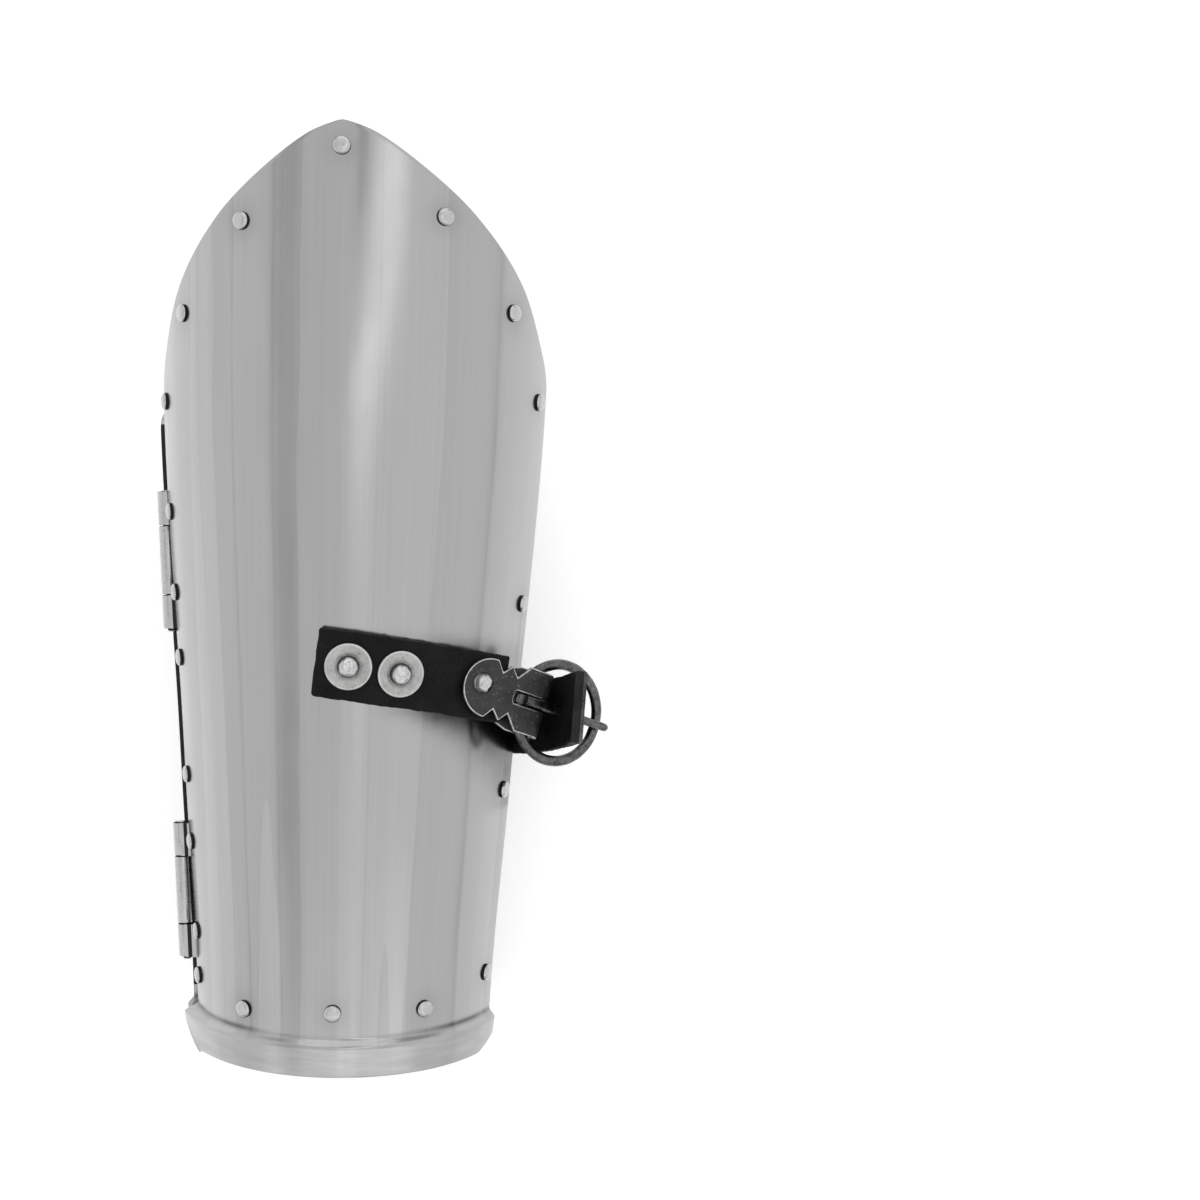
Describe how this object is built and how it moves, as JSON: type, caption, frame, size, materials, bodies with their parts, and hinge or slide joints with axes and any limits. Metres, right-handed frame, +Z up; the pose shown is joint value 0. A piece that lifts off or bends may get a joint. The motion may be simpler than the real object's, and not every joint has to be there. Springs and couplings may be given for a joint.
{
  "type": "steel bracer",
  "caption": "Hinged steel forearm bracer lying on its back plate, with a pointed elbow end, a stepped wrist rim, rivets and a leather strap in a ring buckle.",
  "frame": {"origin": "on the surface that the bracer lies on, under the centre of its bounding box", "axes": "+Y along the arm from the wrist rim to the elbow point, +Z up out of the surface through the crown of the front plate, +X towards the buckle side"},
  "size_m": [0.1302, 0.2544, 0.0921],
  "materials": {
    "plate_steel": "satin, with soft streaks along the arm",
    "rivet_steel": "satin, rubbed heads",
    "hinge_steel": "satin",
    "blackened_steel": "blackened, worn bright along its edges",
    "leather": "black, finished grain with rough cut edges"
  },
  "bodies": {
    "root": {"back_plate": "plate_steel", "billet": "leather", "billet_rivet_1": "rivet_steel", "billet_rivet_2": "rivet_steel", "billet_washer_1": "rivet_steel", "billet_washer_2": "rivet_steel", "buckle_chape": "blackened_steel", "buckle_prong": "blackened_steel", "buckle_ring": "blackened_steel", "buckle_rivet": "rivet_steel", "front_plate": "plate_steel", "hinge_elbow_back_leaf": "hinge_steel", "hinge_elbow_front_leaf": "hinge_steel", "hinge_elbow_pin": "hinge_steel", "hinge_wrist_back_leaf": "hinge_steel", "hinge_wrist_front_leaf": "hinge_steel", "hinge_wrist_pin": "hinge_steel", "rivet_back_buckle_1": "rivet_steel", "rivet_back_buckle_2": "rivet_steel", "rivet_back_buckle_3": "rivet_steel", "rivet_back_buckle_4": "rivet_steel", "rivet_back_elbow_1": "rivet_steel", "rivet_back_elbow_2": "rivet_steel", "rivet_back_elbow_3": "rivet_steel", "rivet_back_hinge_1": "rivet_steel", "rivet_back_hinge_2": "rivet_steel", "rivet_back_hinge_3": "rivet_steel", "rivet_back_hinge_4": "rivet_steel", "rivet_back_wrist_1": "rivet_steel", "rivet_back_wrist_2": "rivet_steel", "rivet_buckle_edge_1": "rivet_steel", "rivet_buckle_edge_2": "rivet_steel", "rivet_buckle_edge_3": "rivet_steel", "rivet_elbow_buckle_1": "rivet_steel", "rivet_elbow_buckle_2": "rivet_steel", "rivet_elbow_buckle_3": "rivet_steel", "rivet_elbow_hinge_1": "rivet_steel", "rivet_elbow_hinge_2": "rivet_steel", "rivet_elbow_hinge_3": "rivet_steel", "rivet_hinge_edge_1": "rivet_steel", "rivet_hinge_edge_2": "rivet_steel", "rivet_hinge_edge_3": "rivet_steel", "rivet_hinge_elbow_back_1": "rivet_steel", "rivet_hinge_elbow_back_2": "rivet_steel", "rivet_hinge_elbow_front_1": "rivet_steel", "rivet_hinge_elbow_front_2": "rivet_steel", "rivet_hinge_wrist_back_1": "rivet_steel", "rivet_hinge_wrist_back_2": "rivet_steel", "rivet_hinge_wrist_front_1": "rivet_steel", "rivet_hinge_wrist_front_2": "rivet_steel", "rivet_point": "rivet_steel", "rivet_wrist_1": "rivet_steel", "rivet_wrist_2": "rivet_steel", "rivet_wrist_3": "rivet_steel", "strap": "leather", "strap_rivet_1": "rivet_steel", "strap_rivet_2": "rivet_steel", "strap_washer_1": "rivet_steel", "strap_washer_2": "rivet_steel"}
  },
  "joints": []
}
